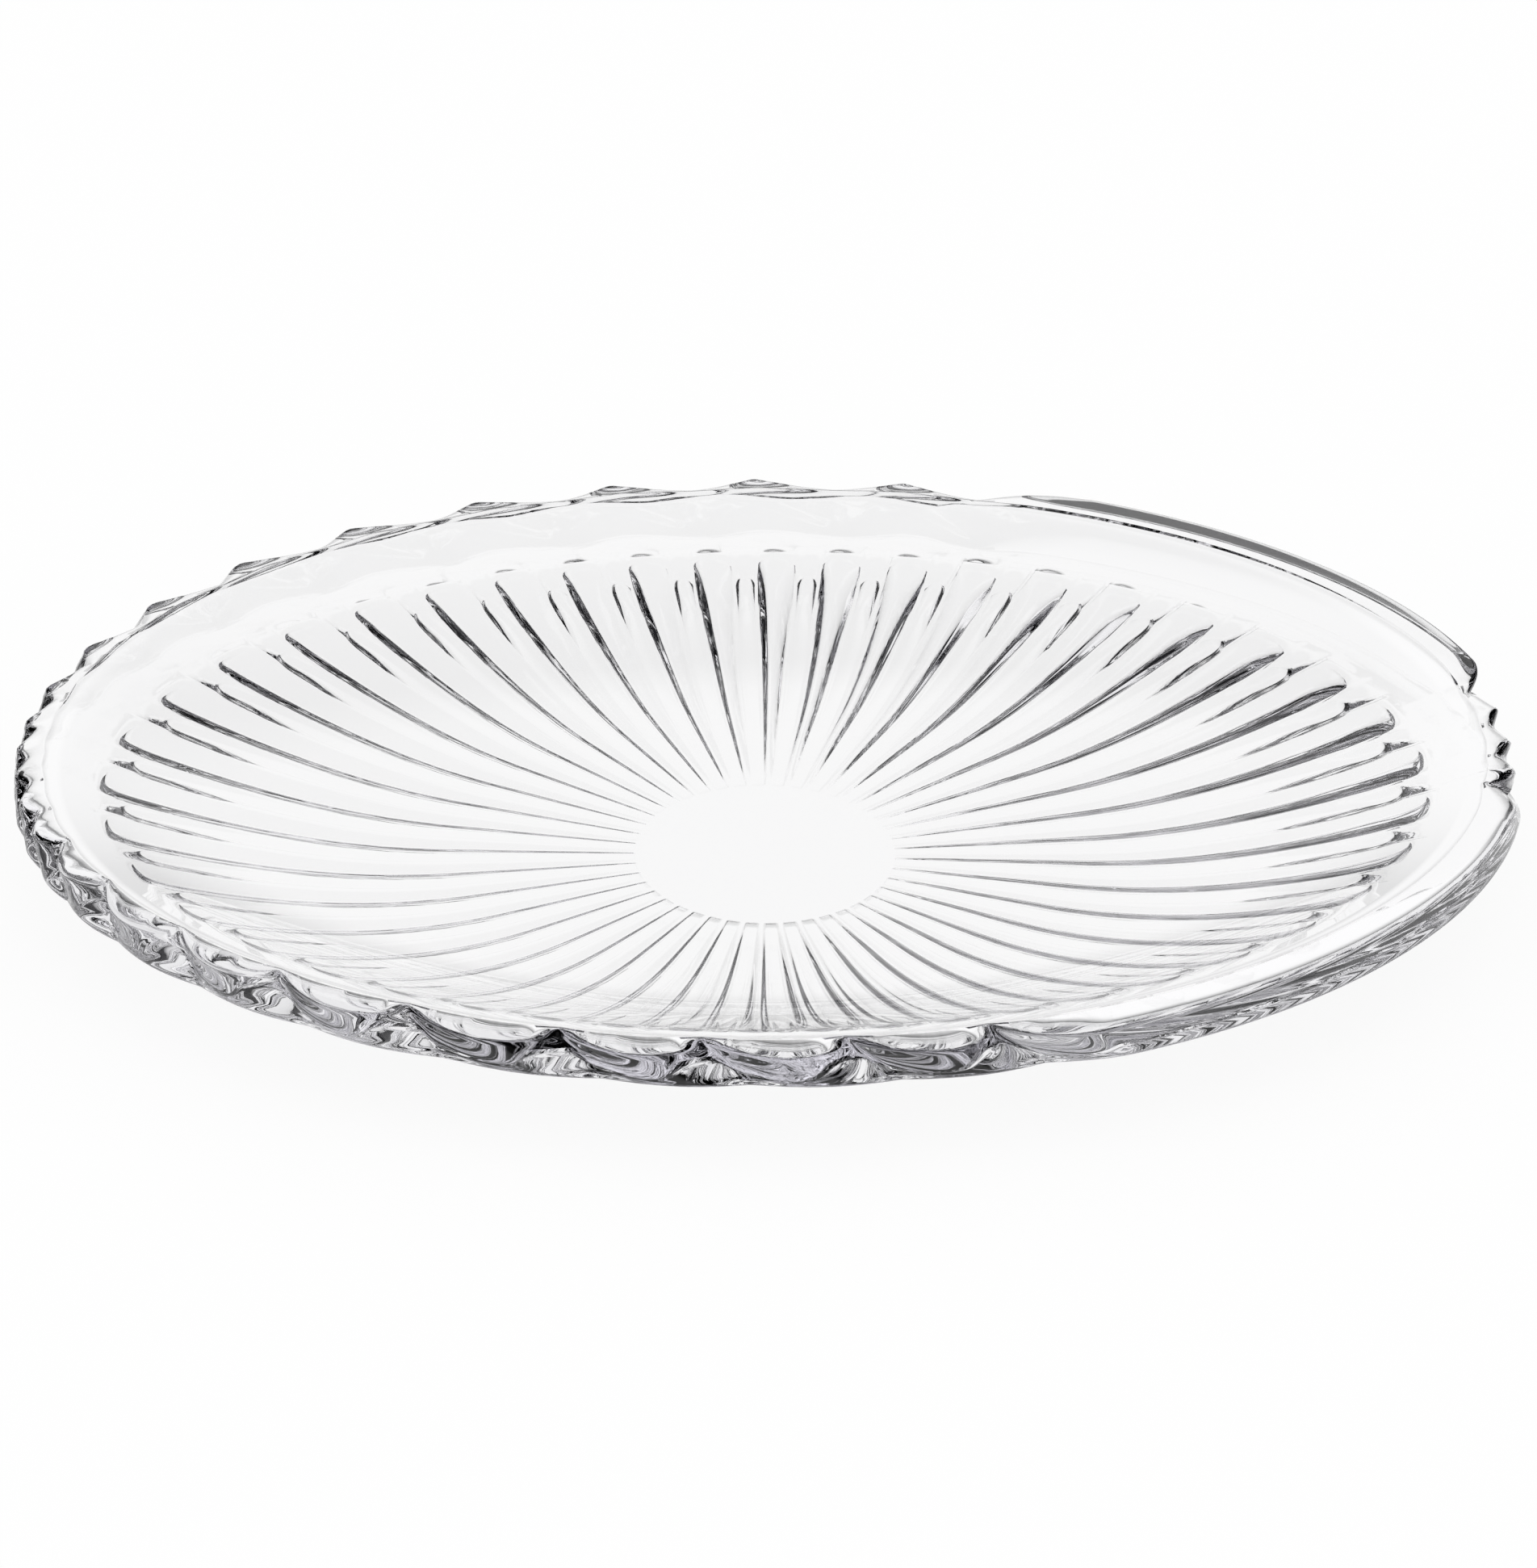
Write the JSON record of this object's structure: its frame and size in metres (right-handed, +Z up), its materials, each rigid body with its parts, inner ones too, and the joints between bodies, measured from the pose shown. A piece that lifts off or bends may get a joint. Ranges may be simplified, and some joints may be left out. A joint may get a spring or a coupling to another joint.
{
  "type": "glass dessert plate",
  "caption": "Oval pressed-glass dessert plate with a shallow well, round-ended ribs and petals radiating on the underside, and a thick rim of turned scallops.",
  "frame": {"origin": "middle of the flat base, on the surface that the plate stands on", "axes": "+X along the plate's long axis, towards the beaded end beside the two plain arcs of the rim; +Y across it; +Z up out of the well"},
  "size_m": [0.2002, 0.146, 0.0172],
  "materials": {
    "glass": "clear fire-polished pressed glass"
  },
  "bodies": {
    "root": {"plate": "glass"}
  },
  "joints": []
}
